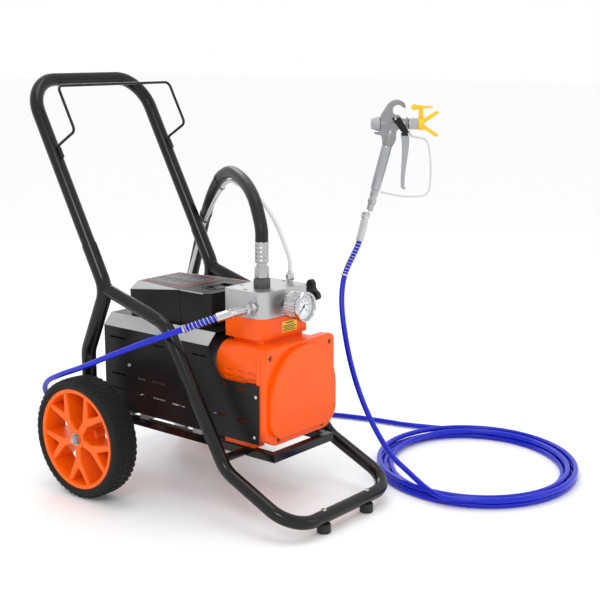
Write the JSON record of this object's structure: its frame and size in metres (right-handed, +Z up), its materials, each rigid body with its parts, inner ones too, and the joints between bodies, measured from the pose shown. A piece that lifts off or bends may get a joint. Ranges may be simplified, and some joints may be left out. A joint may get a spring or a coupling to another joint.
{
  "type": "airless paint sprayer",
  "caption": "Electric diaphragm-pump airless paint sprayer on a two-wheel tube cart, with suction hose, coiled paint hose and spray gun.",
  "frame": {"origin": "on the floor, at the middle of the footprint of the cart and gun, hoses left out", "axes": "+Z up; -Y is the cart's front, where the pump cover and feet are, and its push handle is at +Y; +X is towards the right-hand wheel seen from the front"},
  "size_m": [1.1007, 1.2034, 1.023],
  "materials": {
    "frame_paint": "gloss black powder coat",
    "foot_rubber": "matt black",
    "tyre_rubber": "matt black, smooth tread",
    "rim_plastic": "satin orange",
    "bright_steel": "bright zinc plate",
    "turned_steel": "fine turned",
    "cast_grey": "cast, satin grey",
    "cover_paint": "satin black",
    "black_plastic": "satin black",
    "board_green": "satin green",
    "pump_orange": "gloss orange",
    "manifold_metal": "machined, satin",
    "diaphragm_white": "matt white",
    "suction_rubber": "satin black, ribbed",
    "hose_blue": "gloss blue sheath",
    "clear_tube": "clear",
    "tip_yellow": "satin yellow",
    "gun_alloy": "polished casting",
    "guard_strap": "satin pale"
  },
  "bodies": {
    "cart": {"axle_left": "bright_steel", "axle_nut_left": "bright_steel", "axle_nut_right": "bright_steel", "axle_right": "bright_steel", "circuit_board": "board_green", "control_box": "black_plastic", "crankcase": "pump_orange", "engine_cradle": "frame_paint", "gauge_body": "bright_steel", "gun_body": "gun_alloy", "gun_grip": "gun_alloy", "gun_hose_end": "bright_steel", "hose_coil": "hose_blue", "hose_rack": "frame_paint", "hose_riser": "hose_blue", "hose_run": "hose_blue", "inlet_fitting": "bright_steel", "main_rail": "frame_paint", "motor_bearing_front": "turned_steel", "motor_bearing_rear": "turned_steel", "motor_cover": "cover_paint", "motor_housing": "cast_grey", "needle_cap": "cast_grey", "outlet_fitting": "bright_steel", "outlet_hose_end": "bright_steel", "paint_manifold": "manifold_metal", "piston_spring": "turned_steel", "pump_diaphragm": "diaphragm_white", "pump_front_cover": "pump_orange", "push_handle": "frame_paint", "rear_leg_left": "frame_paint", "rear_leg_right": "frame_paint", "relief_valve": "black_plastic", "return_fitting": "bright_steel", "return_tube": "clear_tube", "rubber_foot_left": "foot_rubber", "rubber_foot_right": "foot_rubber", "suction_ferrule": "bright_steel", "suction_hose": "suction_rubber", "suction_strainer": "bright_steel", "trigger_guard": "guard_strap"},
    "wheel_left": {"tyre_left": "tyre_rubber", "wheel_rim_left": "rim_plastic"},
    "wheel_right": {"tyre_right": "tyre_rubber", "wheel_rim_right": "rim_plastic"},
    "button_left": {"snap_button_left": "bright_steel"},
    "button_right": {"snap_button_right": "bright_steel"},
    "switch": {"rocker_switch": "black_plastic"},
    "rotor": {"motor_rotor": "turned_steel", "cooling_fan": "black_plastic"},
    "gear": {"eccentric_gear": "turned_steel"},
    "piston": {"pump_piston": "turned_steel"},
    "needle": {"gauge_needle": "black_plastic"},
    "valve_knob": {"relief_knob": "black_plastic"},
    "trigger": {"gun_trigger": "bright_steel"},
    "lock": {"trigger_lock": "black_plastic"},
    "tip_holder": {"guard_nut": "bright_steel", "tip_guard": "tip_yellow"},
    "reversible_tip": {"tip_key": "tip_yellow"},
    "hose_swivel": {"gun_swivel": "bright_steel"}
  },
  "joints": [
    {"name": "wheel_left_spin", "type": "hinge", "parent": "cart", "child": "wheel_left", "pos_m": [-0.33524, 0.17173, 0.15], "axis": [1, 0, 0], "continuous": true},
    {"name": "wheel_right_spin", "type": "hinge", "parent": "cart", "child": "wheel_right", "pos_m": [0.18676, 0.17173, 0.15], "axis": [1, 0, 0], "continuous": true},
    {"name": "button_left_press", "type": "slide", "parent": "cart", "child": "button_left", "axis": [0, -0.8801, 0.4748], "range_m": [0, 0.005], "stiffness_N_per_m": 900, "springref_m": -0.002},
    {"name": "button_right_press", "type": "slide", "parent": "cart", "child": "button_right", "axis": [0, -0.8801, 0.4748], "range_m": [0, 0.005], "stiffness_N_per_m": 900, "springref_m": -0.002},
    {"name": "switch_rock", "type": "hinge", "parent": "cart", "child": "switch", "pos_m": [-0.07424, -0.03927, 0.5098], "axis": [-1, 0, 0], "range_deg": [0, 14]},
    {"name": "rotor_spin", "type": "hinge", "parent": "cart", "child": "rotor", "pos_m": [-0.07424, 0.02173, 0.3], "axis": [0, 1, 0], "continuous": true},
    {"name": "gear_spin", "type": "hinge", "parent": "cart", "child": "gear", "pos_m": [-0.07424, -0.19027, 0.354], "axis": [0, 1, 0], "continuous": true},
    {"name": "piston_stroke", "type": "slide", "parent": "cart", "child": "piston", "axis": [0, 0, 1], "range_m": [0, 0.008], "stiffness_N_per_m": 1500, "springref_m": -0.004, "deforming": ["piston_spring"]},
    {"name": "needle_sweep", "type": "hinge", "parent": "cart", "child": "needle", "pos_m": [-0.07424, -0.30547, 0.497], "axis": [0, 1, 0], "range_deg": [0, 260], "stiffness_Nm_per_rad": 0.0004, "springref_deg": -5.73},
    {"name": "relief_turn", "type": "hinge", "parent": "cart", "child": "valve_knob", "pos_m": [0.04426, -0.23077, 0.506], "axis": [1, 0, 0], "range_deg": [0, 90]},
    {"name": "trigger_pull", "type": "hinge", "parent": "cart", "child": "trigger", "pos_m": [0.30803, -0.28782, 0.912], "axis": [0.7738, 0.6334, 0], "range_deg": [0, 12], "stiffness_Nm_per_rad": 1.5, "springref_deg": -11.46},
    {"name": "trigger_lock_turn", "type": "hinge", "parent": "cart", "child": "lock", "pos_m": [0.29521, -0.30089, 0.909], "axis": [-0.7738, -0.6334, 0], "range_deg": [0, 60]},
    {"name": "tip_guard_turn", "type": "hinge", "parent": "cart", "child": "tip_holder", "pos_m": [0.34476, -0.3327, 0.899], "axis": [0.6334, -0.7738, 0], "range_deg": [-90, 90]},
    {"name": "tip_key_turn", "type": "hinge", "parent": "tip_holder", "child": "reversible_tip", "pos_m": [0.34888, -0.33773, 0.919], "axis": [0, 0, 1], "range_deg": [0, 180]},
    {"name": "hose_swivel_turn", "type": "hinge", "parent": "cart", "child": "hose_swivel", "pos_m": [0.27762, -0.25067, 0.733], "axis": [-0.1588, 0.194, -0.9681], "continuous": true}
  ],
  "couplings": [
    {"joint": "gear_spin", "follows": "rotor_spin", "ratio": -0.3544}
  ]
}
